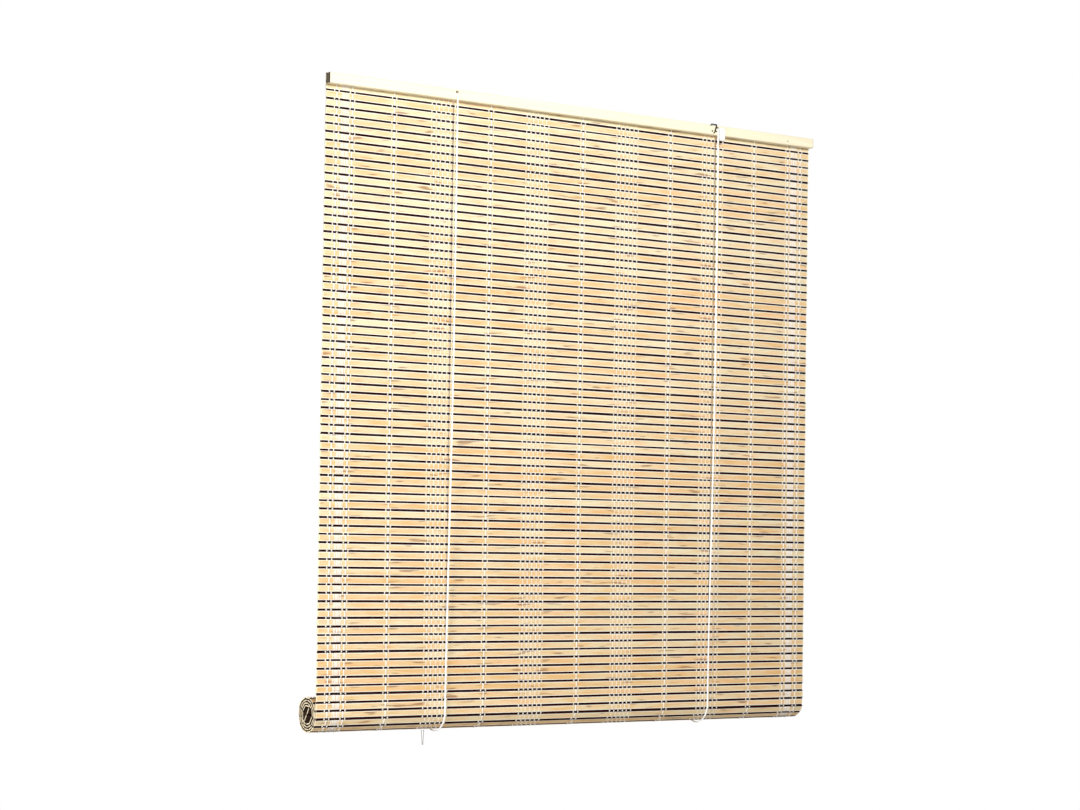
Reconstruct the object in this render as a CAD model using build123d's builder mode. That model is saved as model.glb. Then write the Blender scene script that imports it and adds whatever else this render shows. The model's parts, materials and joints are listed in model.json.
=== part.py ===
# Bamboo roll-up blind, partly rolled up: slats woven with thread hang from a pine headrail,
# and two lift cords carry the rolled-up rest of the mat behind its lower edge.
# X runs along the headrail, -Y is the room side, +Z is up, and the origin is the middle of
# the headrail's top face, which is screwed up under a lintel.
import os
from math import asin, atan2, cos, degrees, hypot, pi, sin, tan

from build123d import *

# Mat
mat_width = 900.0
slat_height = 10.0
slat_gap = 2.0
slat_thickness = 1.6
slat_flare = 0.5
thread_width = 1.2
thread_thickness = 0.3
thread_spacing = 8.1
warp_units_per_side = 5
edge_unit_inset = 30.0
edge_thread_insets = [14.0, 22.0, 40.0, 48.0]
single_threads = 2
group_threads = 6
group_units = (1, 3)

# Headrail
rail_height = 15.0
rail_depth = 11.0
rail_edge = 0.8
mat_top_drop = 0.1
screw_hole_radius = 2.25
screw_head_radius = 4.2
screw_inset = 45.0
tack_head_radius = 2.4
tack_head_height = 0.8
tack_head_sides = 8
tack_shank_width = 1.2
tack_depth = 6.0

# How much of the mat is fixed, hangs free and is rolled up
fixed_slats = 4
hanging_slats = 72
slats_per_turn = 14
layer_spacing = 3.6
rolled_turns = 3.97
core_slats = 2
core_step = 1.6

# Lift cords
cord_radius = 1.25
cord_sides = 6
cord_clearance = 0.25
roll_clearance = 0.3
cord_left_inset = 214.2
cord_right_inset = 198.0
cord_hole_radius = 2.75
cord_hole_drop = 4.5
cord_bend = 1.5
cord_run_drop = 5.2
sling_chords = 12
cord_tail_drop = 13.0
riser_height = 14.0

# Cord lock and hook beside the right-hand cord
lock_width = 13.0
lock_depth = 8.0
lock_height = 15.0
lock_drop = 8.5
lock_round = 1.8
lock_slot_width = 2.6
lock_slot_depth = 3.0
lock_screw_radius = 1.6
screw_sides = 8
hook_wire_radius = 0.8
hook_offset = 7.4
hook_arm = 11.0
hook_leg = 12.5
hook_tip = 2.6
hook_bend = 1.7
hook_stem_depth = 5.0
pin_radius = 0.7
pin_head_radius = 1.3
pin_head_height = 0.5
pin_drop = 9.6
pin_left_offset = 3.6
pin_right_offset = 4.6
wire_sides = 6

# Places that follow from the sizes
pitch = slat_height + slat_gap
slat_side_angle = degrees(atan2(slat_thickness, slat_flare))
warp_spacing = (mat_width / 2 - edge_unit_inset) / warp_units_per_side
mat_y = rail_depth / 2 + thread_thickness + slat_thickness / 2
mat_front_y = mat_y - slat_thickness / 2 - thread_thickness
mat_back_y = mat_y + slat_thickness / 2 + thread_thickness
top_slat_z = -mat_top_drop - slat_height / 2
fixed_end_z = top_slat_z + pitch / 2 - fixed_slats * pitch
hanging_end_z = fixed_end_z - hanging_slats * pitch
roll_z = hanging_end_z - pitch / 2
half_step = pi / slats_per_turn
corner_radius = pitch / 2 / sin(half_step)
roll_y = mat_y + pitch / 2 / tan(half_step)
turned_apothem = pitch / 2 / tan(half_step) + slat_thickness / 2 + thread_thickness
roll_outer_radius = turned_apothem / cos(half_step)
sling_radius = roll_outer_radius + roll_clearance + cord_radius
front_cord_y = -rail_depth / 2 - cord_clearance - cord_radius
rear_cord_y = mat_back_y + cord_clearance + cord_radius
cord_left_x = -mat_width / 2 + cord_left_inset
cord_right_x = mat_width / 2 - cord_right_inset
lift_turns = 5
lift_travel = lift_turns * slats_per_turn * pitch

os.makedirs("parts", exist_ok=True)


def save(piece, label):
    piece.label = label
    export_step(piece, f"parts/{label}.step")


def strand_places(unit):
    """X of each thread of one warp unit, counted from -warp_units_per_side on the left."""
    middle = unit * warp_spacing
    if abs(unit) == warp_units_per_side:
        side = 1 if unit > 0 else -1
        return [side * (mat_width / 2 - inset) for inset in edge_thread_insets]
    threads = group_threads if abs(unit) in group_units else single_threads
    return [middle + (i - (threads - 1) / 2) * thread_spacing for i in range(threads)]


def unit_span(unit):
    """Left and right edge of one warp unit."""
    places = strand_places(unit)
    return min(places) - thread_width / 2, max(places) + thread_width / 2


def spiral_corners():
    """Corners of the rolled mat's middle line, a polygon spiral that starts at the hanging mat."""
    corners = []
    turned = 0.0
    while turned < 2 * pi * rolled_turns:
        radius = corner_radius - layer_spacing * turned / (2 * pi)
        angle = turned - half_step
        corners.append((roll_y - radius * cos(angle), roll_z - radius * sin(angle)))
        next_radius = radius - layer_spacing * half_step / pi
        turned += 2 * asin(pitch / (radius + next_radius))
    return corners


def core_corners(last):
    """The mat's last slats cut straight across the hollow core."""
    reach = hypot(last[0] - roll_y, last[1] - roll_z)
    across = ((roll_y - last[0]) / reach, (roll_z - last[1]) / reach)
    steps = [core_step + pitch * (i + 1) for i in range(core_slats)]
    return [(last[0] + across[0] * step, last[1] + across[1] * step) for step in steps]


def slat_block(places):
    """Slats with bevelled edges, each given by its middle in YZ and its turn about X."""
    back_height = slat_height + 2 * slat_flare
    with BuildPart() as block:
        with BuildSketch(Plane.YZ.offset(-mat_width / 2)):
            with Locations(*[Location((y, z, 0), (0, 0, turn)) for y, z, turn in places]):
                Trapezoid(back_height, slat_thickness, slat_side_angle, rotation=90)
        extrude(amount=mat_width)
    return block.part


def straight_threads(places, top, bottom):
    """Threads down both faces of the flat mat."""
    with BuildPart() as threads:
        with BuildSketch(Plane.XY.offset(top)):
            for x in places:
                with Locations(
                    (x, mat_front_y + thread_thickness / 2),
                    (x, mat_back_y - thread_thickness / 2),
                ):
                    Rectangle(thread_width, thread_thickness)
        extrude(amount=bottom - top)
    return threads.part


def straight_slats(first, count):
    """Places of flat slats, counted down from the headrail."""
    return [(mat_y, top_slat_z - (first + i) * pitch, 0) for i in range(count)]


# Headrail: a pine batten, bored for two screws and for the lift cords.
screw_places = [(-mat_width / 2 + screw_inset, 0), (mat_width / 2 - screw_inset, 0)]
cord_places = [cord_left_x, cord_right_x]
tack_places = [
    (i + 0.5) * warp_spacing for i in range(-warp_units_per_side, warp_units_per_side)
]
lock_x = cord_right_x + cord_radius + cord_clearance + lock_width / 2
hook_x = cord_right_x - hook_offset
pin_places = [hook_x - pin_left_offset, hook_x + pin_right_offset]
stem_z = -hook_wire_radius - mat_top_drop - hook_leg
front_plane = Plane.XZ.offset(rail_depth / 2)
rear_plane = Plane.XZ.offset(-rail_depth / 2)

with BuildPart() as headrail:
    Box(mat_width, rail_depth, rail_height, align=(Align.CENTER, Align.CENTER, Align.MAX))
    chamfer(headrail.edges().filter_by(Axis.X), rail_edge)
    with Locations(Plane.XY.offset(-rail_height)):
        with Locations(Location((0, 0, 0), (180, 0, 0))):
            with Locations(*screw_places):
                CounterSinkHole(screw_hole_radius, screw_head_radius)
    with BuildSketch(front_plane):
        with Locations(*[(x, -cord_hole_drop) for x in cord_places]):
            Circle(cord_hole_radius)
    extrude(amount=-rail_depth, mode=Mode.SUBTRACT)
    with BuildSketch(rear_plane):
        with Locations(*[(x, top_slat_z) for x in tack_places]):
            Rectangle(tack_shank_width, tack_shank_width)
    extrude(amount=tack_depth, mode=Mode.SUBTRACT)
    with BuildSketch(front_plane):
        with Locations((hook_x, stem_z)):
            RegularPolygon(hook_wire_radius, wire_sides)
        with Locations(*[(x, -pin_drop) for x in pin_places]):
            RegularPolygon(pin_radius, wire_sides)
    extrude(amount=-hook_stem_depth, mode=Mode.SUBTRACT)
save(headrail.part, "headrail")

# Mat: the fixed slats, with holes for cords and tacks in the top one.
with BuildPart() as upper_slats:
    add(slat_block(straight_slats(0, fixed_slats)))
    with BuildSketch(Plane.XZ.offset(-mat_back_y)):
        with Locations(*[(x, -cord_hole_drop) for x in cord_places]):
            Circle(cord_hole_radius)
        with Locations(*[(x, top_slat_z) for x in tack_places]):
            Rectangle(tack_shank_width, tack_shank_width)
    extrude(amount=mat_back_y - mat_front_y, mode=Mode.SUBTRACT)
save(upper_slats.part, "upper_slats")

save(slat_block(straight_slats(fixed_slats, hanging_slats)), "hanging_slats")

# Roll: the slats lie on a polygon spiral, and the last ones cross the core.
corners = spiral_corners()
core = core_corners(corners[-1])
chords = list(zip(corners, corners[1:]))
core_start = tuple(c - (c1 - c) for c, c1 in zip(core[0], core[1]))
chords += list(zip([core_start] + core, core))


def chord_place(start, end):
    """Middle of a chord, and its turn about X away from upright."""
    turn = degrees(atan2(start[0] - end[0], end[1] - start[1]))
    return (start[0] + end[0]) / 2, (start[1] + end[1]) / 2, turn


rolled_places = [chord_place(start, end) for start, end in chords]
save(slat_block(rolled_places), "rolled_slats")


def offset_line(line, distance):
    """The polygon line moved outwards, with mitred corners."""
    normals = []
    for start, end in zip(line, line[1:]):
        along = Vector(end[0] - start[0], end[1] - start[1], 0).normalized()
        normals.append(Vector(along.Y, -along.X, 0))
    moved = [Vector(*line[0], 0) + normals[0] * distance]
    for point, before, after in zip(line[1:-1], normals, normals[1:]):
        mitre = (before + after).normalized()
        moved.append(Vector(*point, 0) + mitre * (distance / mitre.dot(before)))
    moved.append(Vector(*line[-1], 0) + normals[-1] * distance)
    return [(point.X, point.Y) for point in moved]


thread_line = corners + core
inner_line = offset_line(thread_line, slat_thickness / 2)
outer_line = offset_line(thread_line, slat_thickness / 2 + thread_thickness)

units = list(range(-warp_units_per_side, warp_units_per_side + 1))
all_strands = [x for unit in units for x in strand_places(unit)]
save(straight_threads(all_strands, -mat_top_drop, fixed_end_z), "top_threads")
for number, unit in enumerate(units, start=1):
    hanging = straight_threads(strand_places(unit), fixed_end_z, hanging_end_z)
    save(hanging, f"hanging_threads_{number:02d}")
    left, right = unit_span(unit)
    with BuildPart() as rolled_threads:
        with BuildSketch(Plane.YZ.offset(left)):
            with BuildLine():
                Polyline(*inner_line, *reversed(outer_line), close=True)
            make_face()
        extrude(amount=right - left)
    save(rolled_threads.part, f"rolled_threads_{number:02d}")

# Tacks: they hold the mat's top slat to the headrail.
with BuildPart() as tacks:
    with BuildSketch(Plane.XZ.offset(-mat_y - slat_thickness / 2)):
        with Locations(*[(x, top_slat_z) for x in tack_places]):
            RegularPolygon(tack_head_radius, tack_head_sides)
    extrude(amount=-tack_head_height)
    with BuildSketch(Plane.XZ.offset(-mat_y - slat_thickness / 2)):
        with Locations(*[(x, top_slat_z) for x in tack_places]):
            Rectangle(tack_shank_width, tack_shank_width)
    extrude(amount=mat_y + slat_thickness / 2 - rail_depth / 2 + tack_depth)
save(tacks.part, "tacks")

# Lift cords: over the headrail's hole, down the front, under the roll and up behind the mat.
front_foot_y = roll_y - sling_radius
rear_foot_y = roll_y + sling_radius
riser_z = roll_z + riser_height
rear_top_z = -cord_tail_drop
chord_turn = pi / sling_chords
corner_reach = sling_radius / cos(chord_turn / 2)
sling_turns = [chord_turn * (i + 0.5) for i in range(sling_chords)]
sling_corners = [
    (roll_y - corner_reach * cos(turn), roll_z - corner_reach * sin(turn)) for turn in sling_turns
]
for side, x in (("left", cord_left_x), ("right", cord_right_x)):
    with BuildPart() as top_cord:
        with BuildLine(Plane.YZ.offset(x)) as route:
            Polyline(
                (front_cord_y, -rail_height),
                (front_cord_y, -cord_run_drop - cord_bend),
                (front_cord_y + cord_bend, -cord_run_drop),
                (rear_cord_y - cord_bend, -cord_run_drop),
                (rear_cord_y, -cord_run_drop - cord_bend),
                (rear_cord_y, rear_top_z),
            )
        with BuildSketch(Plane.XY.offset(-rail_height)):
            with Locations((x, front_cord_y)):
                RegularPolygon(cord_radius, cord_sides)
        sweep(path=route.wires()[0], transition=Transition.RIGHT)
    save(top_cord.part, f"top_cord_{side}")

    with BuildPart() as front_cord:
        with BuildSketch(Plane.XY.offset(-rail_height)):
            with Locations((x, front_cord_y)):
                RegularPolygon(cord_radius, cord_sides)
        drop = Vector(0, front_foot_y - front_cord_y, roll_z + roll_clearance + rail_height)
        extrude(amount=drop.length, dir=drop)
    save(front_cord.part, f"front_cord_{side}")

    with BuildPart() as rear_cord:
        with BuildSketch(Plane.XY.offset(rear_top_z)):
            with Locations((x, rear_cord_y)):
                RegularPolygon(cord_radius, cord_sides)
        drop = Vector(0, rear_foot_y - rear_cord_y, riser_z + roll_clearance - rear_top_z)
        extrude(amount=drop.length, dir=drop)
    save(rear_cord.part, f"rear_cord_{side}")

    with BuildPart() as cord_sling:
        with BuildLine(Plane.YZ.offset(x)) as loop:
            Polyline((front_foot_y, roll_z), *sling_corners, (rear_foot_y, riser_z))
        with BuildSketch(Plane.XY.offset(roll_z)):
            with Locations((x, front_foot_y)):
                RegularPolygon(cord_radius, cord_sides)
        sweep(path=loop.wires()[0], transition=Transition.RIGHT)
    save(cord_sling.part, f"cord_sling_{side}")

# Cord lock: a small moulded block with a slot beside the right-hand cord.
with BuildPart() as cord_lock:
    with BuildSketch(front_plane):
        with Locations((lock_x, -lock_drop - lock_height / 2)):
            RectangleRounded(lock_width, lock_height, lock_round)
    extrude(amount=lock_depth)
    chamfer(cord_lock.faces().sort_by(Axis.Y)[0].edges(), lock_round / 3)
    with BuildSketch(Plane.XY.offset(-lock_drop)):
        with Locations((lock_x - lock_width / 2, -rail_depth / 2 - lock_depth / 2)):
            Rectangle(lock_slot_depth * 2, lock_slot_width)
    extrude(amount=-lock_height, mode=Mode.SUBTRACT)
    with BuildSketch(front_plane.offset(lock_depth)):
        with Locations((lock_x + lock_slot_depth / 2, -lock_drop - lock_height / 4)):
            RegularPolygon(lock_screw_radius, screw_sides)
    extrude(amount=-lock_depth / 2, mode=Mode.SUBTRACT)
save(cord_lock.part, "cord_lock")

# Cord hook: a bent wire pushed into the headrail, with its arm along the top edge.
arm_z = -hook_wire_radius - mat_top_drop
hook_y = -rail_depth / 2 - hook_wire_radius - hook_bend
with BuildPart() as cord_hook:
    with BuildLine() as hook_route:
        FilletPolyline(
            (hook_x, -rail_depth / 2 + hook_stem_depth, stem_z),
            (hook_x, hook_y, stem_z),
            (hook_x, hook_y, arm_z),
            (hook_x - hook_arm, hook_y, arm_z),
            (hook_x - hook_arm, hook_y, arm_z - hook_tip),
            radius=hook_bend,
        )
    with BuildSketch(Plane.XZ.offset(rail_depth / 2 - hook_stem_depth)):
        with Locations((hook_x, stem_z)):
            RegularPolygon(hook_wire_radius, wire_sides)
    sweep(path=hook_route.wires()[0])
save(cord_hook.part, "cord_hook")

with BuildPart() as hook_pins:
    with BuildSketch(front_plane):
        with Locations(*[(x, -pin_drop) for x in pin_places]):
            RegularPolygon(pin_head_radius, wire_sides)
    extrude(amount=pin_head_height)
    with BuildSketch(front_plane):
        with Locations(*[(x, -pin_drop) for x in pin_places]):
            RegularPolygon(pin_radius, wire_sides)
    extrude(amount=-hook_stem_depth)
save(hook_pins.part, "hook_pins")

print(f"roll axis y {roll_y:.3f} z {roll_z:.3f}, outer radius {roll_outer_radius:.3f}")
print(f"fixed end z {fixed_end_z:.3f}, travel {lift_travel:.1f}, turns {lift_turns}")
print(f"slats in the roll {len(rolled_places)}")
print(f"sling radius {sling_radius:.3f}, rear cord foot y {rear_foot_y:.3f}")
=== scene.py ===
import json
from math import asin, atan2, cos, pi, radians, sin

import bmesh
import bpy
import numpy as np
from mathutils import Matrix, Vector


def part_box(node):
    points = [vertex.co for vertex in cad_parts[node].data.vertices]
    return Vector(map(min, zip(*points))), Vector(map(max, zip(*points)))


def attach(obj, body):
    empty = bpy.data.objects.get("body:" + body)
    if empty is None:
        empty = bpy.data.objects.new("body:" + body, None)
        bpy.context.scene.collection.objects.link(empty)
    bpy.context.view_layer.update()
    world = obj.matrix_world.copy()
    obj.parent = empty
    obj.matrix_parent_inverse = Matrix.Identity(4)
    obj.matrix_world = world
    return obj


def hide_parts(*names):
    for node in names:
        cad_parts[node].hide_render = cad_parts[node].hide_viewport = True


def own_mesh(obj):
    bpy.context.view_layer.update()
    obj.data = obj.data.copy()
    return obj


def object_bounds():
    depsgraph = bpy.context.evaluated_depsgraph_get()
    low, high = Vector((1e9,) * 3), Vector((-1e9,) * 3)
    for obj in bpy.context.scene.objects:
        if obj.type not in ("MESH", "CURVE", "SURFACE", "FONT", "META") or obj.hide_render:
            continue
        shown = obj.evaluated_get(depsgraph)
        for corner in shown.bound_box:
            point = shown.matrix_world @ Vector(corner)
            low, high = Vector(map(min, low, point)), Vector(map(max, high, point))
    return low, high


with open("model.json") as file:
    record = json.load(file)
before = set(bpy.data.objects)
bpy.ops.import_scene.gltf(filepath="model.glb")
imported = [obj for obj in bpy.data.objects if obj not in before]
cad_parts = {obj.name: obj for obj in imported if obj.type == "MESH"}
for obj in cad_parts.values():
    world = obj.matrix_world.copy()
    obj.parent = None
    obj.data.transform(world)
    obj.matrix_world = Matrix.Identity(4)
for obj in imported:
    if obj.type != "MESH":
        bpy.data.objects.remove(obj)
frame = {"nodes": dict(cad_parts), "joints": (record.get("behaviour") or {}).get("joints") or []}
cadLow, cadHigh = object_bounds()
scene = bpy.context.scene
rng = np.random.default_rng(41)

# Everything is in metres: X along the headrail, -Y towards the room, Z up,
# with the origin in the middle of the headrail's top face.

# Camera, at the photograph's place
cameraSetup = {
    "place": (-2.1362, -3.0490, -0.6834),
    "turn": -34.057,    # degrees about Z
    "tiltUp": 1.615,
    "roll": -0.794,
    "lens": 81.4,
    "sensor": 36,
    "shiftUp": 0.0741,
    "reach": 60,        # clip distance
}
cameraData = bpy.data.cameras.new("photoCamera")
cameraData.lens = cameraSetup["lens"]
cameraData.sensor_width = cameraSetup["sensor"]
cameraData.shift_y = cameraSetup["shiftUp"]
cameraData.clip_end = cameraSetup["reach"]
camera = bpy.data.objects.new("photoCamera", cameraData)
scene.collection.objects.link(camera)
camera.matrix_world = (
    Matrix.Translation(cameraSetup["place"])
    @ Matrix.Rotation(radians(cameraSetup["turn"]), 4, "Z")
    @ Matrix.Rotation(radians(cameraSetup["tiltUp"]), 4, "X")
    @ Matrix.Rotation(radians(cameraSetup["roll"]), 4, "Y")
    @ Matrix.Rotation(radians(90), 4, "X")
)
scene.camera = camera
print("camera done")


def jointNamed(name):
    return next(joint for joint in frame["joints"] if joint["name"] == name)


# Sizes of the mat, as the frame has them
railLow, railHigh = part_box("headrail")
matLow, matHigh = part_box("hanging_slats")
threadLow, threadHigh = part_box("hanging_threads_06")
halfWidth = matHigh.x
frontY, backY = matLow.y, matHigh.y
slatThick = backY - frontY
fixedSlats, hangingSlats = 4, 72
pitch = (threadHigh.z - threadLow.z) / hangingSlats
fixedEnd = threadHigh.z
topSlatZ = fixedEnd + (fixedSlats - 0.5) * pitch
rollY, rollZ = jointNamed("roll_turn")["pos_m"][1:]
midY = (frontY + backY) / 2
hair = 0.00001    # two places nearer than this count as one

# Wound mat: the slats' places on the spiral, by the same rule as the solid
rollShape = {
    "slatsPerTurn": 14,
    "layerSpacing": 0.0036,    # by which the spiral closes in each turn
    "turns": 3.97,
    "coreSlats": 2,            # straight slats across the hollow core
    "coreStep": 0.0016,
}


def spiralPlaces():
    halfStep = pi / rollShape["slatsPerTurn"]
    cornerRadius = pitch / 2 / sin(halfStep)
    perRadian = rollShape["layerSpacing"] / (2 * pi)
    corners, turned = [], 0.0
    while turned < 2 * pi * rollShape["turns"]:
        radius = cornerRadius - perRadian * turned
        angle = turned - halfStep
        corners.append(Vector((rollY - radius * cos(angle), rollZ - radius * sin(angle))))
        nextRadius = radius - perRadian * 2 * halfStep
        turned += 2 * asin(pitch / (radius + nextRadius))
    across = (Vector((rollY, rollZ)) - corners[-1]).normalized()
    first = corners[-1] + across * rollShape["coreStep"]
    core = [first + across * pitch * step for step in range(rollShape["coreSlats"] + 1)]
    chords = list(zip(corners, corners[1:])) + list(zip(core, core[1:]))
    places = []
    for start, end in chords:
        turn = atan2(end.x - start.x, start.y - end.y)
        middle = (start + end) / 2
        places.append(Matrix.Translation((0, middle.x, middle.y)) @ Matrix.Rotation(turn, 4, "X"))
    return places


def flatPlaces(first, last):
    return [Matrix.Translation((0, midY, topSlatZ - k * pitch)) for k in range(first, last)]


stayingSlats = 2    # hanging slats that still show when the blind is up
squashFrom = fixedSlats + stayingSlats
topPlaces = flatPlaces(0, squashFrom)
hangingPlaces = flatPlaces(squashFrom, fixedSlats + hangingSlats)
rollPlaces = spiralPlaces()

# Daylight studio: a white surround, one soft key almost straight on and a pale floor
lightSetup = {
    "surroundSeen": 1.0,      # what the camera sees behind the blind
    "surroundLight": 0.24,    # what the surround adds to the blind
    # name, watts, size, fan in degrees, place, and the point it looks at
    "lamps": [
        ("keyLight", 32.0, 0.30, 180, (-0.30, -1.60, 0.42), (0.0, 0.0, -0.40)),
        ("endFill", 7.5, 0.60, 90, (-2.10, -0.70, -0.50), (-0.45, 0.03, -0.80)),
        ("backFill", 16.0, 0.80, 140, (0.50, 2.00, -0.70), (0.0, 0.0, -0.50)),
    ],
    "floorDrop": 0.45,        # floor below the blind's lowest point
    "floorSize": 3.6,
    "floorColour": (0.78, 0.77, 0.75),
    "floorRoughness": 0.9,
}


def makeSurround():
    world = bpy.data.worlds.new("whiteSurround")
    scene.world = world
    world.use_nodes = True
    nodes, links = world.node_tree.nodes, world.node_tree.links
    nodes.clear()
    output = nodes.new("ShaderNodeOutputWorld")
    seen = nodes.new("ShaderNodeBackground")
    seen.inputs["Strength"].default_value = lightSetup["surroundSeen"]
    lit = nodes.new("ShaderNodeBackground")
    lit.inputs["Strength"].default_value = lightSetup["surroundLight"]
    for background in (seen, lit):
        background.inputs["Color"].default_value = (1, 1, 1, 1)
    rays = nodes.new("ShaderNodeLightPath")
    choose = nodes.new("ShaderNodeMixShader")
    links.new(rays.outputs["Is Camera Ray"], choose.inputs["Fac"])
    links.new(lit.outputs[0], choose.inputs[1])
    links.new(seen.outputs[0], choose.inputs[2])
    links.new(choose.outputs[0], output.inputs["Surface"])


def makeLamp(name, power, size, fan, place, aim):
    data = bpy.data.lights.new(name, "AREA")
    data.energy = power
    data.shape = "DISK"
    data.size = size
    data.spread = radians(fan)
    lamp = bpy.data.objects.new(name, data)
    scene.collection.objects.link(lamp)
    lamp.location = place
    lamp.rotation_euler = (Vector(aim) - Vector(place)).to_track_quat("-Z", "Y").to_euler()


makeSurround()
for lampSetup in lightSetup["lamps"]:
    makeLamp(*lampSetup)
scene.view_settings.view_transform = "Standard"
print("lights done")


# Shader helpers
def newMaterial(name, **sockets):
    material = bpy.data.materials.new(name)
    material.use_nodes = True
    shader = material.node_tree.nodes["Principled BSDF"]
    for socketName, value in sockets.items():
        shader.inputs[socketName.replace("_", " ")].default_value = value
    return material, material.node_tree, shader


def feed(tree, socket, value):
    if isinstance(value, bpy.types.NodeSocket):
        tree.links.new(value, socket)
    elif isinstance(value, tuple) and len(value) == 3 and socket.type == "RGBA":
        socket.default_value = (*value, 1)
    else:
        socket.default_value = value


def addNode(tree, kind, inputs, **settings):
    node = tree.nodes.new(kind)
    for name, value in settings.items():
        setattr(node, name, value)
    for name, value in inputs.items():
        feed(tree, node.inputs[name], value)
    return node


def calc(tree, operation, *values):
    node = addNode(tree, "ShaderNodeMath", {}, operation=operation)
    for socket, value in zip(node.inputs, values):
        feed(tree, socket, value)
    return node.outputs[0]


def addShare(tree, base, value, share):
    return calc(tree, "ADD", base, calc(tree, "MULTIPLY", value, share))


def mixColour(tree, factor, first, second):
    node = addNode(tree, "ShaderNodeMix", {}, data_type="RGBA")
    for index, value in ((0, factor), (6, first), (7, second)):
        feed(tree, node.inputs[index], value)
    return node.outputs[2]


def stepBetween(tree, value, low, high):
    ranges = {"Value": value, "From Min": low, "From Max": high}
    node = addNode(tree, "ShaderNodeMapRange", ranges, interpolation_type="SMOOTHSTEP")
    return node.outputs["Result"]


def pointOfPiece(tree, scale=1.0):
    coords = addNode(tree, "ShaderNodeTexCoord", {})
    split = addNode(tree, "ShaderNodeSeparateXYZ", {"Vector": coords.outputs["Object"]})
    return [calc(tree, "MULTIPLY", split.outputs[axis], scale) for axis in range(3)]


def noiseAt(tree, x, y, z, detail=2.0):
    place = addNode(tree, "ShaderNodeCombineXYZ", {"X": x, "Y": y, "Z": z})
    inputs = {"Vector": place.outputs[0], "Scale": 1.0, "Detail": detail}
    return addNode(tree, "ShaderNodeTexNoise", inputs).outputs["Fac"]


def addBump(tree, shader, height, strength, distance):
    inputs = {"Height": height, "Strength": strength, "Distance": distance}
    bump = addNode(tree, "ShaderNodeBump", inputs)
    tree.links.new(bump.outputs["Normal"], shader.inputs["Normal"])


def newGroup(name, inputs, outputs):
    group = bpy.data.node_groups.new(name, "ShaderNodeTree")
    for socketName, default in inputs.items():
        socket = group.interface.new_socket(socketName, in_out="INPUT", socket_type="NodeSocketFloat")
        socket.default_value = default
    for socketName in outputs:
        group.interface.new_socket(socketName, in_out="OUTPUT", socket_type="NodeSocketFloat")
    return group, group.nodes.new("NodeGroupInput"), group.nodes.new("NodeGroupOutput")


# Fibres of split wood, shared by the slats and the headrail. Pairs are along and across the grain,
# and what is added to a seed keeps the patterns apart
fibreShape = {
    "fine": (2.3, 3.1),          # fine fibres, as multiples of the streaks
    "blotches": (26.0, 130.0),   # per metre
    "marks": (26.0, 200.0),
    "steps": {"Streak": (0.32, 0.68), "Fine": (0.3, 0.7), "Blotch": (0.38, 0.66), "Mark": (0.62, 0.76)},
}
woodFibre, fibreIn, fibreOut = newGroup(
    "woodFibre",
    {"Along": 0, "Across": 0, "Seed": 0, "Streak Length": 0.05, "Streak Width": 0.0009},
    ["Streak", "Fine", "Blotch", "Mark"],
)


def scaledPair(tree, first, second, scales):
    return calc(tree, "MULTIPLY", first, scales[0]), calc(tree, "MULTIPLY", second, scales[1])


def buildWoodFibre():
    along, across, seed, length, width = fibreIn.outputs[:5]
    tree = woodFibre
    streakX, streakY = calc(tree, "DIVIDE", along, length), calc(tree, "DIVIDE", across, width)
    fineX, fineY = scaledPair(tree, streakX, streakY, fibreShape["fine"])
    blotchX, blotchY = scaledPair(tree, along, across, fibreShape["blotches"])
    markX, markY = scaledPair(tree, along, across, fibreShape["marks"])
    noises = {
        "Streak": noiseAt(tree, streakX, streakY, seed, 3.0),
        "Fine": noiseAt(tree, fineX, fineY, calc(tree, "ADD", seed, 17.0)),
        "Blotch": noiseAt(tree, blotchX, blotchY, calc(tree, "MULTIPLY", seed, 1.7)),
        "Mark": noiseAt(tree, markX, markY, calc(tree, "ADD", seed, 5.0), 1.0),
    }
    for name, noise in noises.items():
        mask = stepBetween(tree, noise, *fibreShape["steps"][name])
        tree.links.new(mask, fibreOut.inputs[name])


buildWoodFibre()


# Bamboo of the slats: pale tan, streaked and blotched along each slat, with a painted highlight along
# both edges of each face, and painted shade on the bevelled sides and on the faces that the roll hides
bambooLook = {
    "light": (0.77, 0.67, 0.44),
    "deep": (0.73, 0.445, 0.18),
    "rosy": (0.84, 0.49, 0.26),
    "mark": (0.29, 0.14, 0.07),
    # painted highlight: pale strip along both edges of each slat face
    "worn": (1.0, 0.97, 0.86),
    # painted shade: near-black colour of the bevelled sides, where the slats meet, so the gaps between
    # slats read dark
    "gapShade": (0.022, 0.003, 0.002),
    "endGrain": (0.97, 0.84, 0.58),
    "depthShares": {"streak": 0.42, "fine": 0.30, "tone": 0.58, "blotch": 0.40},
    "paler": 0.38,                # taken off the depth of colour
    "colourShares": {"rosy": 0.4, "mark": 0.75, "worn": 0.95, "endGrain": 0.8},
    "patches": (11.0, 60.0),      # rosy patches per metre, along and across
    "patchStep": (0.46, 0.66),
    "highlightFull": 0.35,             # share of the painted highlight strip that is fully pale
    "endZone": (0.0022, 0.0012),  # from a slat's end, where its pale end begins and is full
    "shine": 0.08,
    "roughness": 0.46,
    "streakRoughness": 0.2,
    "shadeRoughness": 0.3,
    "fineBump": 0.5,
    "bump": (0.35, 0.0003),       # strength and depth
}


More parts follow.
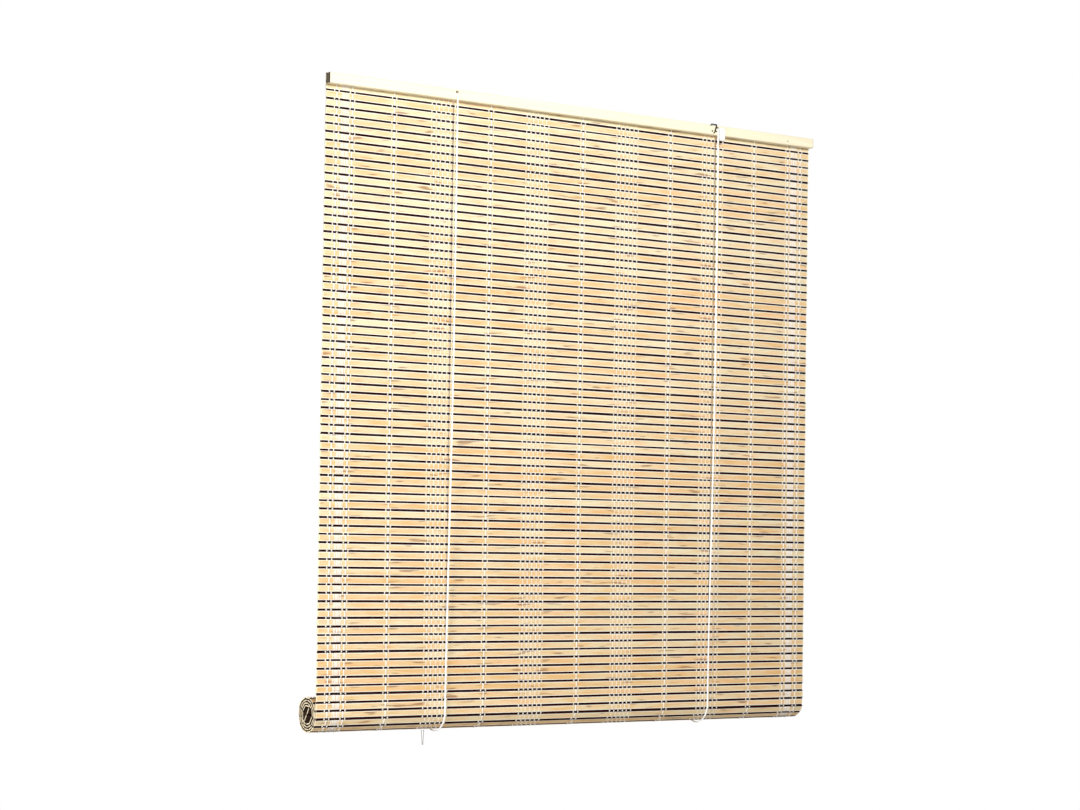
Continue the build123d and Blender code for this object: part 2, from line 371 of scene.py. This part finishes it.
def makeBamboo():
    look = bambooLook
    material, tree, shader = newMaterial("splitBamboo", Specular_IOR_Level=look["shine"])
    grain = addNode(tree, "ShaderNodeAttribute", {}, attribute_name="slatGrain")
    # The tone attribute holds each slat's random tone plus the painted light falloff, paler at the top
    tone = addNode(tree, "ShaderNodeAttribute", {}, attribute_name="slatTone").outputs["Fac"]
    paintedShade = addNode(tree, "ShaderNodeAttribute", {}, attribute_name="slatPaintedShade").outputs["Fac"]
    split = addNode(tree, "ShaderNodeSeparateXYZ", {"Vector": grain.outputs["Vector"]})
    along, across, seed = split.outputs[:3]
    fibre = addNode(tree, "ShaderNodeGroup", {}, node_tree=woodFibre)
    for name, value in (("Along", along), ("Across", across), ("Seed", seed)):
        feed(tree, fibre.inputs[name], value)
    streak, fine, blotch, mark = fibre.outputs[:4]
    shares = look["depthShares"]
    depth = calc(tree, "MULTIPLY", streak, shares["streak"])
    for value, share in ((fine, shares["fine"]), (tone, shares["tone"]), (blotch, shares["blotch"])):
        depth = addShare(tree, depth, value, share)
    depth = calc(tree, "MAXIMUM", calc(tree, "SUBTRACT", depth, look["paler"]), 0.0)
    colour = mixColour(tree, calc(tree, "MINIMUM", depth, 1.0), look["light"], look["deep"])
    patchX, patchY = scaledPair(tree, along, across, look["patches"])
    patch = noiseAt(tree, patchX, patchY, calc(tree, "ADD", seed, 31.0))
    fromMiddle = calc(tree, "ABSOLUTE", calc(tree, "ADD", across, slatThick / 2))
    edge, worn = slatShape["frontHeight"] / 2, slatShape["highlightEdge"]
    endStart, endFull = look["endZone"]
    fromCentre = calc(tree, "ABSOLUTE", along)
    masks = {
        "rosy": stepBetween(tree, patch, *look["patchStep"]),
        "mark": mark,
        # painted highlight along both edges of each face
        "worn": stepBetween(tree, fromMiddle, edge - worn, edge - worn * look["highlightFull"]),
        "endGrain": stepBetween(tree, fromCentre, halfWidth - endStart, halfWidth - endFull),
    }
    for name, mask in masks.items():
        share = calc(tree, "MULTIPLY", mask, look["colourShares"][name])
        colour = mixColour(tree, share, colour, look[name])
    # Painted shade: near black on the bevelled sides between slats, and darker on the faces that the
    # roll hides
    colour = mixColour(tree, paintedShade, colour, look["gapShade"])
    tree.links.new(colour, shader.inputs["Base Color"])
    rough = addShare(tree, look["roughness"], streak, look["streakRoughness"])
    rough = addShare(tree, rough, paintedShade, look["shadeRoughness"])
    tree.links.new(rough, shader.inputs["Roughness"])
    addBump(tree, shader, addShare(tree, streak, fine, look["fineBump"]), *look["bump"])
    return material


# Soft fuzzy threads and cords, white but for the loose tails, which are painted grey as painted shade.
# The cords' twist is modelled
threadLook = {"light": (0.93, 0.90, 0.85), "shade": (0.76, 0.69, 0.62), "fuzz": 2600.0}
shadedTailLook = {"light": (0.34, 0.31, 0.30), "shade": (0.20, 0.18, 0.18), "fuzz": 2600.0}
cordLook = {"light": (0.97, 0.96, 0.95), "shade": (0.86, 0.84, 0.82), "fuzz": 1900.0}
yarnLook = {
    "roughness": 0.85,
    "sheen": 0.25,
    "shadeStep": (0.35, 0.75),
    "shadeShare": 0.6,
    "bump": (0.5, 0.0003),
}


def makeYarn(name, look):
    material, tree, shader = newMaterial(
        name, Roughness=yarnLook["roughness"], Sheen_Weight=yarnLook["sheen"])
    fuzz = noiseAt(tree, *pointOfPiece(tree, look["fuzz"]), 3.0)
    shade = stepBetween(tree, fuzz, *yarnLook["shadeStep"])
    shade = calc(tree, "MULTIPLY", shade, yarnLook["shadeShare"])
    tree.links.new(mixColour(tree, shade, look["light"], look["shade"]), shader.inputs["Base Color"])
    addBump(tree, shader, fuzz, *yarnLook["bump"])
    return material


# Pine of the headrail: pale cream with faint streaks along it, painted shade on the end face, near
# black along its front and back edges, and a small nail mark
pineLook = {
    "light": (0.90, 0.84, 0.63),
    "deep": (0.80, 0.68, 0.44),
    "streakLength": 0.16,
    "streakWidth": 0.0016,
    "streakShare": 0.4,
    "fineShare": 0.15,
    "depthAcross": 0.8,             # how far the grain shifts from the front to the back
    # painted shade: the end face is coloured dark brown, near black along its front and back edges
    "endGrain": (0.10, 0.075, 0.045),
    "endEdgeShade": (0.012, 0.003, 0.003),
    "endZone": (0.0006, 0.0002),    # from the rail's end, where the painted end shade begins and is full
    "endEdgeShadeStep": (0.0012, 0.0038),
    "endShade": 0.72,
    "rings": (520.0, 60.0),         # per metre, over the end's depth and height
    "ringShare": 0.35,
    "nail": (0.03, 0.03, 0.02),
    "nailPlaces": [(0.3965, -0.0095, 0.0010)],    # X, Z and radius
    "nailDepth": (0.0012, 0.0002),  # from the front face, where its colour begins and is full
    "nailBlur": 0.0002,
    "roughness": 0.55,
    "bump": (0.2, 0.0003),
}


def makePine():
    look = pineLook
    material, tree, shader = newMaterial("palePine", Roughness=look["roughness"])
    x, y, z = pointOfPiece(tree)
    fibre = addNode(tree, "ShaderNodeGroup", {}, node_tree=woodFibre)
    across = addShare(tree, z, y, look["depthAcross"])
    for name, value in (("Along", x), ("Across", across), ("Seed", 3.0),
                        ("Streak Length", look["streakLength"]), ("Streak Width", look["streakWidth"])):
        feed(tree, fibre.inputs[name], value)
    streak, fine = fibre.outputs[:2]
    depth = calc(tree, "MULTIPLY", streak, look["streakShare"])
    depth = addShare(tree, depth, fine, look["fineShare"])
    colour = mixColour(tree, depth, look["light"], look["deep"])
    # Painted shade on the rail's end face, varied by the rings and near black along its front and back
    # edges
    endStart, endFull = look["endZone"]
    atEnd = stepBetween(tree, calc(tree, "ABSOLUTE", x), halfWidth - endStart, halfWidth - endFull)
    rings = noiseAt(tree, *scaledPair(tree, y, z, look["rings"]), 2.0)
    endShade = addShare(tree, look["endShade"], rings, look["ringShare"])
    fromCentre = calc(tree, "ABSOLUTE", calc(tree, "SUBTRACT", y, (railLow.y + railHigh.y) / 2))
    nearEdge = stepBetween(tree, fromCentre, *look["endEdgeShadeStep"])
    endColour = mixColour(tree, nearEdge, look["endGrain"], look["endEdgeShade"])
    colour = mixColour(tree, calc(tree, "MULTIPLY", atEnd, endShade), colour, endColour)
    nailStart, nailFull = look["nailDepth"]
    forward = calc(tree, "MULTIPLY", y, -1.0)
    onFront = stepBetween(tree, forward, -railLow.y - nailStart, -railLow.y - nailFull)
    for placeX, placeZ, size in look["nailPlaces"]:
        point = addNode(tree, "ShaderNodeCombineXYZ", {"X": x, "Y": 0.0, "Z": z})
        away = addNode(tree, "ShaderNodeVectorMath", {0: point.outputs[0], 1: (placeX, 0, placeZ)},
                       operation="DISTANCE")
        inside = calc(tree, "SUBTRACT", size, away.outputs["Value"])
        dot = stepBetween(tree, inside, -look["nailBlur"], look["nailBlur"])
        colour = mixColour(tree, calc(tree, "MULTIPLY", dot, onFront), colour, look["nail"])
    tree.links.new(colour, shader.inputs["Base Color"])
    addBump(tree, shader, streak, *look["bump"])
    return material


# Metals of the hook, its pins and the tacks
brassLook = {"colour": (0.045, 0.032, 0.016), "worn": (0.012, 0.009, 0.008), "roughness": 0.38}
steelLook = {"colour": (0.55, 0.55, 0.56), "worn": (0.32, 0.30, 0.28), "roughness": 0.3}
metalLook = {"stains": 900.0, "stainStep": (0.4, 0.65), "stainRoughness": 0.2, "bump": (0.15, 0.0002)}


def makeMetal(name, look):
    material, tree, shader = newMaterial(name, Metallic=1.0)
    stain = noiseAt(tree, *pointOfPiece(tree, metalLook["stains"]), 3.0)
    stained = stepBetween(tree, stain, *metalLook["stainStep"])
    tree.links.new(mixColour(tree, stained, look["colour"], look["worn"]), shader.inputs["Base Color"])
    rough = addShare(tree, look["roughness"], stain, metalLook["stainRoughness"])
    tree.links.new(rough, shader.inputs["Roughness"])
    addBump(tree, shader, stain, *metalLook["bump"])
    return material


# White plastic of the cord lock
plasticLook = {
    "light": (0.93, 0.93, 0.92),
    "dull": (0.83, 0.83, 0.81),
    "clouds": 420.0,
    "cloudStep": (0.35, 0.8),
    "roughness": 0.42,
    "bump": (0.1, 0.0002),
}


def makePlastic():
    look = plasticLook
    material, tree, shader = newMaterial("whitePlastic", Roughness=look["roughness"])
    cloud = noiseAt(tree, *pointOfPiece(tree, look["clouds"]), 4.0)
    dulled = stepBetween(tree, cloud, *look["cloudStep"])
    tree.links.new(mixColour(tree, dulled, look["light"], look["dull"]), shader.inputs["Base Color"])
    addBump(tree, shader, cloud, *look["bump"])
    return material


warpThread = makeYarn("warpThread", threadLook)
shadedTailThread = makeYarn("shadedTailThread", shadedTailLook)
liftCord = makeYarn("liftCord", cordLook)
pine = makePine()
agedBrass = makeMetal("agedBrass", brassLook)
tackSteel = makeMetal("tackSteel", steelLook)
whitePlastic = makePlastic()
print("materials done")


def makePiece(name, shape, body, material, replaced=()):
    if isinstance(shape, bmesh.types.BMesh):
        mesh = bpy.data.meshes.new(name)
        shape.to_mesh(mesh)
        shape.free()
    else:
        mesh = shape
        mesh.name = name
    piece = bpy.data.objects.new(name, mesh)
    scene.collection.objects.link(piece)
    mesh.materials.clear()
    mesh.materials.append(material)
    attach(piece, body)
    if replaced:
        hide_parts(*replaced)
    return piece


# Slats: one bevelled template, then every copy is bowed, sized and toned a little differently
slatShape = {
    "frontHeight": 0.0091,
    "waistHeight": 0.01199,    # widest inside, where neighbours touch, so no light shows between slats
    "waistDepth": 0.0002,      # behind the slat's middle
    "backHeight": 0.0103,
    "edgeRound": 0.00022,
    "highlightEdge": 0.0014,        # painted highlight: a pale strip along both edges of a face
    "sections": 18,
    "bow": 0.00030,            # up and down, along a slat
    "warp": 0.00012,           # in and out
    "waves": (1, 2, 5),        # of bow and warp in twice a slat's length
    "heightChange": 0.035,
    "taper": 0.02,
    "endChange": 0.0009,
    "rollShade": 0.92,             # painted shade, on the faces that the roll hides
    "woundNarrower": 0.95,     # faces of the wound slats stand further apart
    "paintedFalloff": 0.60,            # painted light falloff: how much paler the slats are at the top and darker lower down
}


bamboo = makeBamboo()


def mirrored(upper):
    return upper + [(y, -z) for y, z in reversed(upper)]


# A closed shape through rings of points, in a fixed order, so that each run gives the same mesh
def loft(rings):
    bm = bmesh.new()
    rings = [[bm.verts.new(point) for point in ring] for ring in rings]
    for near, far in zip(rings, rings[1:]):
        for i in range(len(near)):
            bm.faces.new((near[i], near[i - 1], far[i - 1], far[i]))
    bm.faces.new(rings[0])
    bm.faces.new(rings[-1][::-1])
    return bm


def slatTemplate():
    front, back = slatShape["frontHeight"] / 2, slatShape["backHeight"] / 2
    waist, rounding, half = slatShape["waistHeight"] / 2, slatShape["edgeRound"], slatThick / 2
    section = mirrored([(-half, front - rounding), (-half + rounding, front),
                        (slatShape["waistDepth"], waist), (half, back)])
    places = np.linspace(-halfWidth, halfWidth, slatShape["sections"] + 1)
    bm = loft([[(x, y, z) for y, z in section] for x in places])
    mesh = bpy.data.meshes.new("slatTemplate")
    bm.to_mesh(mesh)
    bm.free()
    mesh.attributes.new("slatGrain", "FLOAT_VECTOR", "POINT")
    mesh.attributes.new("slatTone", "FLOAT", "POINT")
    mesh.attributes.new("slatPaintedShade", "FLOAT", "CORNER")
    return mesh


def readPoints(mesh):
    points = np.zeros(len(mesh.vertices) * 3, np.float32)
    mesh.vertices.foreach_get("co", points)
    return points.reshape(-1, 3)


# Painted shade: near black on the bevelled sides, where the slats meet, and on the faces that the roll
# hides
def paintedShadeOf(mesh, backShade, frontShade):
    paintedShade = []
    for face in mesh.polygons:
        if abs(face.normal.x) > 0.5:
            amount = 0.0
        elif abs(face.normal.y) < 0.95:
            amount = 1.0
        else:
            amount = backShade if face.normal.y > 0 else frontShade
        paintedShade.extend([amount] * face.loop_total)
    return np.array(paintedShade, np.float32)


def makeSlats(name, places, body, replaced, inRoll=False):
    template = slatTemplate()
    rest = readPoints(template)
    isWaist = np.abs(rest[:, 2]) > slatShape["waistHeight"] / 2 - hair
    # Painted shade inside the roll: the wound slats' hidden faces are darkened
    rollShade = slatShape["rollShade"] if inRoll else 0
    outerShade, innerShade = paintedShadeOf(template, rollShade, 0), paintedShadeOf(template, rollShade, rollShade)
    width = slatShape["woundNarrower"] if inRoll else 1.0
    bm = bmesh.new()
    for index, place in enumerate(places):
        inner = index >= rollShape["slatsPerTurn"]
        template.attributes["slatPaintedShade"].data.foreach_set("value", innerShade if inner else outerShade)
        points = rest.copy()
        along = points[:, 0] / halfWidth
        height = width + slatShape["heightChange"] * rng.uniform(-1, 1)
        points[:, 2] *= height + slatShape["taper"] * rng.uniform(-1, 1) * along
        for waves in slatShape["waves"]:
            phase = rng.uniform(0, 2 * pi)
            swing = waves * along * pi / 2
            bow = slatShape["bow"] / waves * rng.uniform(0.2, 1)
            warp = slatShape["warp"] / waves * rng.uniform(0, 1)
            points[:, 2] += bow * np.sin(swing + phase)
            points[:, 1] += warp * np.sin(swing - phase)
        points[isWaist, 2] = rest[isWaist, 2]
        ends = 1 + slatShape["endChange"] / halfWidth * rng.uniform(-1, 0.3, 2)
        points[:, 0] *= np.where(along < 0, ends[0], ends[1])
        seed = rng.uniform(0, 90)
        grain = np.column_stack([points[:, 0], rest[:, 2] + rest[:, 1], np.full(len(points), seed)])
        turned = points @ np.array(place.to_3x3()).T + np.array(place.translation)
        template.vertices.foreach_set("co", turned.astype(np.float32).ravel())
        template.attributes["slatGrain"].data.foreach_set("vector", grain.astype(np.float32).ravel())
        # Painted light falloff: the tone rises from the top down, so slats are paler at the top and
        # darker lower down and in the roll
        drop = min(1.0, place.translation.z / rollZ)
        tone = np.full(len(points), rng.uniform(0, 1) + slatShape["paintedFalloff"] * (drop - 0.5), np.float32)
        template.attributes["slatTone"].data.foreach_set("value", tone)
        bm.from_mesh(template)
    return makePiece(name, bm, body, bamboo, replaced)


makeSlats("matTopSlats", topPlaces, "blind", ["upper_slats"])
hangingMat = makeSlats("matHangingSlats", hangingPlaces, "blind", ["hanging_slats"])
makeSlats("matWoundSlats", rollPlaces, "roll", ["rolled_slats"], inRoll=True)
print("slats done")

# Warp threads: a stitch over the face of each slat, and a thread behind that comes forward in each gap
warpShape = {
    "unitSpacing": 0.084,
    "unitsPerSide": 4,                        # besides the middle one and the edge band
    "groupUnits": (1, 3),                     # counted from the middle, to both sides
    "groupStitches": 5,
    "threadSpacing": 0.0081,
    "singleThick": 0.00090,                   # stitch of a unit with one thread on the face
    "groupThick": 0.00047,
    "rearThick": 0.00095,
    "bandThick": 0.00066,
    "flat": 2.0,                              # a thread is this much wider than it is thick
    "standOff": 0.3,                          # share of its thickness, off the slat's face
    "edgeStitches": [0.0175, 0.0440],         # from the mat's side edge
    "edgeRear": [0.0140, 0.0215, 0.0400, 0.0478],
    "edgeBand": [0.0262, 0.0284, 0.0306, 0.0328, 0.0350, 0.0372],
    "jitter": 0.00045,
    "rowKinds": 6,                            # different rows, dealt out to the slats at random
}


def warpPlaces():
    single, group, rear, band = [], [], [], []
    spacing, reach = warpShape["threadSpacing"], warpShape["unitsPerSide"]
    for unit in range(-reach, reach + 1):
        middle = unit * warpShape["unitSpacing"]
        count = warpShape["groupStitches"] if abs(unit) in warpShape["groupUnits"] else 1
        stitches = [middle + (i - (count - 1) / 2) * spacing for i in range(count)]
        (single if count == 1 else group).extend(stitches)
        rear += [middle + (i - count / 2) * spacing for i in range(count + 1)]
    for side in (-1, 1):
        single += [side * (halfWidth - inset) for inset in warpShape["edgeStitches"]]
        rear += [side * (halfWidth - inset) for inset in warpShape["edgeRear"]]
        band += [side * (halfWidth - inset) for inset in warpShape["edgeBand"]]
    return single, group, rear, band


def nudged(places):
    return [x + rng.uniform(-1, 1) * warpShape["jitter"] for x in places]


def tubeMesh(name, paths, thick, sides):
    curve = bpy.data.curves.new(name, "CURVE")
    curve.dimensions = "3D"
    curve.bevel_depth = thick / 2
    curve.bevel_resolution = sides
    curve.use_fill_caps = True
    for path in paths:
        spline = curve.splines.new("POLY")
        spline.points.add(len(path) - 1)
        for point, place in zip(spline.points, path):
            point.co = (*place, 1)
    holder = bpy.data.objects.new(name, curve)
    mesh = bpy.data.meshes.new_from_object(holder)
    bpy.data.objects.remove(holder)
    mesh.shade_smooth()
    return mesh


def threadRow(places, route, thick, sides):
    paths = [[(x / warpShape["flat"], y, z) for y, z in route(thick)] for x in places]
    mesh = tubeMesh("threadRow", paths, thick, sides)
    mesh.transform(Matrix.Diagonal((warpShape["flat"], 1, 1, 1)))
    return mesh


def stitchPath(thick):
    half = slatShape["frontHeight"] / 2
    face = -slatThick / 2 - thick * warpShape["standOff"]
    return mirrored([(0.0011, half + 0.0005), (0.0, half - 0.0001), (face, half - 0.0006)])


def rearPath(thick):
    half = pitch / 2
    face = slatThick / 2 + thick * warpShape["standOff"]
    front = -slatThick / 2 + thick * 0.2
    return mirrored([(front, half), (front + 0.0001, half - 0.0010),
                     (0.0004, half - 0.0018), (face, half - 0.0030)])


def makeThreads(name, places, body, kind, replaced=()):
    single, group, rear, band = warpPlaces()
    rows = []
    for _ in range(warpShape["rowKinds"]):
        if kind == "rear":
            rows.append([threadRow(nudged(rear), rearPath, warpShape["rearThick"], 0)])
        else:
            rows.append([threadRow(nudged(single), stitchPath, warpShape["singleThick"], 1),
                         threadRow(nudged(group), stitchPath, warpShape["groupThick"], 1),
                         threadRow(nudged(band), stitchPath, warpShape["bandThick"], 0)])
    bm = bmesh.new()
    for place in places:
        for row in rows[rng.integers(len(rows))]:
            copy = row.copy()
            copy.transform(place)
            bm.from_mesh(copy)
            bpy.data.meshes.remove(copy)
    return makePiece(name, bm, body, warpThread, replaced)


units = [f"{i:02d}" for i in range(1, 12)]
makeThreads("topStitches", topPlaces, "blind", "front", ["top_threads"])
makeThreads("topRearThreads", topPlaces, "blind", "rear")
hangingStitches = makeThreads("hangingStitches", hangingPlaces, "blind", "front",
                              [f"hanging_threads_{unit}" for unit in units])
hangingRear = makeThreads("hangingRearThreads", hangingPlaces, "blind", "rear")
makeThreads("woundStitches", rollPlaces, "roll", "front",
            [f"rolled_threads_{unit}" for unit in units])
makeThreads("woundRearThreads", rollPlaces, "roll", "rear")
print("threads done")

# Lift cords: three strands laid together, along one route over the headrail and round the roll
cordShape = {
    "strandOut": 0.00062,
    "strandThick": 0.00128,
    "twistLength": 0.0092,
    "step": 0.0011,
    "bow": 0.0045,           # by which the front run swings forward at half height
    "rearTop": -0.0130,      # Z of the rear run's top, where it leaves the headrail
    "slingCorners": 8,
}
slingLow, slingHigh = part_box("cord_sling_left")
topCordLow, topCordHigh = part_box("top_cord_left")
cordThick = slingHigh.x - slingLow.x
slingRadius = (slingHigh.y - slingLow.y - cordThick) / 2
frontFoot, rearFoot = rollY - slingRadius, rollY + slingRadius
frontCordY, rearCordY = topCordLow.y + cordThick / 2, topCordHigh.y - cordThick / 2
cordRunZ = topCordHigh.z - cordThick / 2
riserZ = slingHigh.z


def cordRoute(x):
    count = cordShape["slingCorners"]
    corner = slingRadius / cos(pi / 2 / count)
    around = [pi / 2 / count * (2 * i + 1) for i in range(count)]
    over = [
        (rearCordY, -0.0200), (rearCordY, cordShape["rearTop"]), (rearCordY, cordRunZ - 0.0012),
        (rearCordY - 0.0016, cordRunZ), (0.0, cordRunZ), (frontCordY + 0.0016, cordRunZ),
        (frontCordY, cordRunZ - 0.0016), (frontCordY, -0.0120), (frontCordY, -0.0260),
    ]
    down = [
        (frontCordY, -0.1500), ((frontCordY + frontFoot) / 2 - cordShape["bow"], rollZ / 2),
        (frontFoot - 0.0012, rollZ + 0.1200), (frontFoot, rollZ + 0.0160),
        (frontFoot, rollZ + 0.0040), (frontFoot, rollZ + 0.0010),
    ]
    under = [(rollY - corner * cos(a), rollZ - corner * sin(a)) for a in around]
    up = [
        (rearFoot, rollZ + 0.0010), (rearFoot, riserZ - 0.0020),
        (rearFoot - 0.0010, riserZ + 0.0140), (rearCordY, cordShape["rearTop"]),
    ]
    return [(x, y, z) for y, z in over + down + under + up]


def routePoints(route, step):
    curve = bpy.data.curves.new("cordRoute", "CURVE")
    curve.dimensions = "3D"
    spline = curve.splines.new("NURBS")
    spline.points.add(len(route) - 1)
    for point, place in zip(spline.points, route):
        point.co = (*place, 1)
    spline.order_u = 3
    spline.use_endpoint_u = True
    curve.resolution_u = 24
    holder = bpy.data.objects.new("cordRoute", curve)
    line = bpy.data.meshes.new_from_object(holder)
    points = readPoints(line).astype(float)
    bpy.data.objects.remove(holder)
    lengths = np.concatenate([[0], np.cumsum(np.linalg.norm(np.diff(points, axis=0), axis=1))])
    even = np.arange(0, lengths[-1], step)
    return np.column_stack([np.interp(even, lengths, points[:, axis]) for axis in range(3)]), even


def twistedCord(name, points, travelled, body, replaced):
    side = np.array([1.0, 0.0, 0.0])
    ahead = np.gradient(points, axis=0)
    ahead /= np.linalg.norm(ahead, axis=1)[:, None]
    other = np.cross(ahead, side)
    strands = []
    for strand in range(3):
        angle = 2 * pi * (travelled / cordShape["twistLength"] + strand / 3)
        turned = side * np.cos(angle)[:, None] + other * np.sin(angle)[:, None]
        strands.append(points + turned * cordShape["strandOut"])
    mesh = tubeMesh(name, strands, cordShape["strandThick"], 1)
    return makePiece(name, mesh, body, liftCord, replaced)


def makeLiftCord(side):
    low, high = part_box(f"cord_sling_{side}")
    points, travelled = routePoints(cordRoute((low.x + high.x) / 2), cordShape["step"])
    heights = points[:, 2]
    turnIndex = int(np.argmin(heights))
    order = np.arange(len(points))
    onFront = order < turnIndex
    isTop = onFront & (heights > railLow.z)
    isFront = onFront & ~isTop & (heights > rollZ)
    isRear = ~onFront & (heights > riserZ)
    isSling = ~(isTop | isFront | isRear)
    pieces = []
    for name, mask, replacedNode, body in (
        (f"topCord_{side}", isTop, f"top_cord_{side}", "blind"),
        (f"frontCord_{side}", isFront, f"front_cord_{side}", "blind"),
        (f"rearCord_{side}", isRear, f"rear_cord_{side}", "blind"),
        (f"slingCord_{side}", isSling, f"cord_sling_{side}", "slings"),
    ):
        chosen = order[mask]
        reach = order[max(chosen[0] - 1, 0):chosen[-1] + 2]
        pieces.append(twistedCord(name, points[reach], travelled[reach], body, [replacedNode]))
    return pieces


for side in ("left", "right"):
    _, frontCord, rearCord, _ = makeLiftCord(side)
    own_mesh(frontCord)
    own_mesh(rearCord)
print("cords done")

# The hanging mat, which flattens just above the joint between the last slat that stays and the raised
# roll, and its threads get meshes of their own
for piece in (hangingMat, hangingStitches, hangingRear):
    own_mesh(piece)

# Cord lock: a moulded block with rounded edges and a slot on the cord's side
lockShape = {
    "front": 0.0050,         # forward of the headrail's face
    "top": -0.0040,
    "bottom": -0.0238,
    "roundness": 0.0014,
    "slotDeep": 0.0022,
    "slotWide": 0.0024,
    "narrower": 0.0030,      # than the solid, at its right side
}


def makeLock():
    low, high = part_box("cord_lock")
    high.x -= lockShape["narrower"]
    faceY = railLow.y - lockShape["front"]
    slotX, slotY = low.x + lockShape["slotDeep"], railLow.y - lockShape["front"] / 2
    slotLow, slotHigh = slotY - lockShape["slotWide"] / 2, slotY + lockShape["slotWide"] / 2
    outline = [
        (low.x, railLow.y), (high.x, railLow.y), (high.x, faceY), (low.x, faceY),
        (low.x, slotLow), (slotX, slotLow), (slotX, slotHigh), (low.x, slotHigh),
    ]
    bm = loft([[(x, y, lockShape[end]) for x, y in outline] for end in ("bottom", "top")])
    outer = []
    for edge in bm.edges:
        middle = (edge.verts[0].co + edge.verts[1].co) / 2
        upright = abs(edge.verts[0].co.z - edge.verts[1].co.z) > 0.001
        if middle.y < faceY + hair or (upright and middle.x > high.x - hair):
            outer.append(edge)
    bmesh.ops.bevel(bm, geom=outer, offset=lockShape["roundness"], affect="EDGES",
                    segments=3, profile=0.5, material=-1)
    for face in bm.faces:
        face.smooth = face.calc_area() < 0.00003    # only the rounded strips
    return makePiece("lockBlock", bm, "blind", whitePlastic, ["cord_lock"])


# Cord hook: a bent wire with its arm along the headrail's top edge and a leaning leg
hookShape = {
    "wire": 0.0019,
    "armOut": 0.0072,
    "armIn": 0.0036,
    "lean": 0.0008,
    "legDrop": 0.0128,
    "tipDrop": 0.0022,
    "forward": 0.0024,       # of the headrail's face
    "raise": 0.0016,         # above the solid
    "step": 0.0004,
}


def makeHook():
    _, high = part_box("cord_hook")
    stemX = high.x - hookShape["wire"] / 2
    y = railLow.y - hookShape["forward"]
    armZ = -hookShape["wire"] / 2 + hookShape["raise"]
    legZ = armZ - hookShape["legDrop"]
    inX, outX = stemX + hookShape["armIn"], stemX - hookShape["armOut"]
    route = [
        (stemX, railLow.y + 0.003, legZ), (stemX, railLow.y, legZ), (stemX, y, legZ),
        (stemX + hookShape["lean"], y, legZ + 0.003), (inX - 0.0004, y, armZ - 0.0035),
        (inX + 0.0004, y, armZ), (inX - 0.003, y, armZ), (outX + 0.002, y, armZ),
        (outX, y, armZ), (outX, y, armZ - hookShape["tipDrop"]),
    ]
    points, _ = routePoints(route, hookShape["step"])
    mesh = tubeMesh("hookWire", [points], hookShape["wire"], 2)
    return makePiece("hookWire", mesh, "blind", agedBrass, ["cord_hook"])


# Two loose thread ends that hang under the roll, white thread painted grey as painted shade
tailShape = {"middleX": -0.2585, "spread": 0.0021, "length": 0.0215, "thick": 0.0011, "step": 0.001}


def makeTails():
    top = rollZ - (slingRadius - cordThick / 2)
    paths = []
    for side in (-1, 1):
        startX = tailShape["middleX"] + side * tailShape["spread"]
        route = [
            (startX, rollY - 0.004, top + 0.0008), (startX, rollY - 0.005, top - 0.003),
            (tailShape["middleX"] + side * 0.0011, rollY - 0.0046, top - tailShape["length"] * 0.6),
            (tailShape["middleX"] + side * 0.0005, rollY - 0.0050, top - tailShape["length"]),
        ]
        paths.append(routePoints(route, tailShape["step"])[0])
    mesh = tubeMesh("threadTails", paths, tailShape["thick"], 1)
    return makePiece("threadTails", mesh, "roll", shadedTailThread)


makeLock()
makeHook()
makeTails()
print("lock, hook and tails done")

# CAD nodes that keep their shape
for nodeName, material in (("headrail", pine), ("hook_pins", agedBrass), ("tacks", tackSteel)):
    node = frame["nodes"][nodeName]
    node.data.materials.clear()
    node.data.materials.append(material)

# Floor, well below the blind
bpy.ops.mesh.primitive_plane_add(size=lightSetup["floorSize"])
floor = bpy.context.object
floor.name = "paleFloor"
floor.location = (0, 0, cadLow.z - lightSetup["floorDrop"])
floorMaterial, _, floorShader = newMaterial("paleFloor", Roughness=lightSetup["floorRoughness"])
floorShader.inputs["Base Color"].default_value = (*lightSetup["floorColour"], 1)
floor.data.materials.append(floorMaterial)
print("floor done")

bpy.context.view_layer.update()
